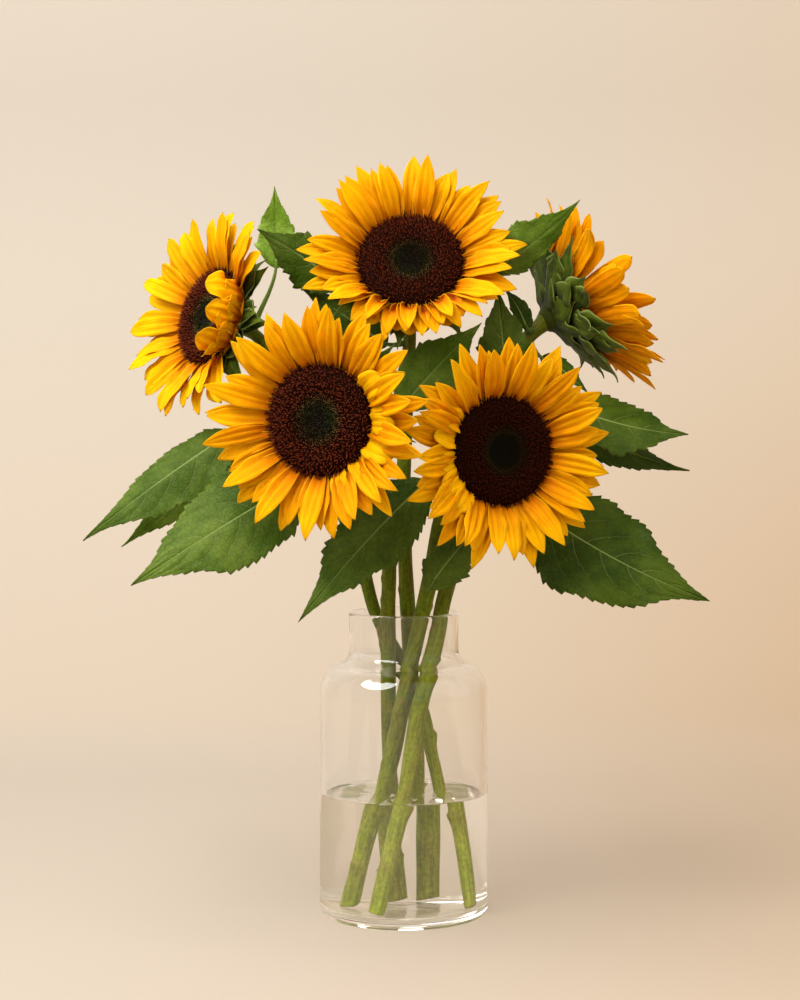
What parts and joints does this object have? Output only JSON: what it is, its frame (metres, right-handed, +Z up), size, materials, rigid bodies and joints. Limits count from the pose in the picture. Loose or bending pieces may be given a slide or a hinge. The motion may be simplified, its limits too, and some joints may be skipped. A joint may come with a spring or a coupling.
{
  "type": "sunflowers in a vase",
  "caption": "Cut sunflowers with their leaves, standing in a clear glass bottle vase that is part filled with water.",
  "frame": {"origin": "centre of the vase's underside, on the surface that it stands on", "axes": "+Z up along the vase's axis, -Y towards the front that the flowers face, +X to the right as seen from the front"},
  "size_m": [0.4386, 0.2477, 0.5423],
  "materials": {
    "vase_glass": "clear, smooth",
    "water": "clear, still",
    "stem": "ribbed, finely hairy",
    "calyx": "matt, hairy at the edges",
    "petal": "satin, grooved lengthways",
    "disc": "matt, packed florets",
    "leaf": "matt with a soft sheen, veined"
  },
  "bodies": {
    "root": {"vase": "vase_glass", "water": "water", "stem_left": "stem", "stem_top": "stem", "stem_right": "stem", "stem_lower_left": "stem", "stem_lower_right": "stem", "bracts_left": "calyx", "bracts_top": "calyx", "bracts_right": "calyx", "bracts_lower_left": "calyx", "bracts_lower_right": "calyx", "disc_left": "disc", "disc_top": "disc", "disc_right": "disc", "disc_lower_left": "disc", "disc_lower_right": "disc", "petals_left": "petal", "petals_top": "petal", "petals_right": "petal", "petals_lower_left": "petal", "petals_lower_right": "petal", "leaf_far_left": "leaf", "leaf_behind_left": "leaf", "leaf_front_left": "leaf", "leaf_front_centre": "leaf", "leaf_front_small": "leaf", "leaf_front_right": "leaf", "leaf_right_upper": "leaf", "leaf_right_lower": "leaf", "leaf_top_right": "leaf", "leaf_top_left": "leaf", "leaf_inner_left": "leaf", "leaf_centre": "leaf", "leaf_inner_right": "leaf", "leaf_behind_centre": "leaf", "leaf_neck_upper": "leaf", "leaf_neck_lower": "leaf"}
  },
  "joints": []
}
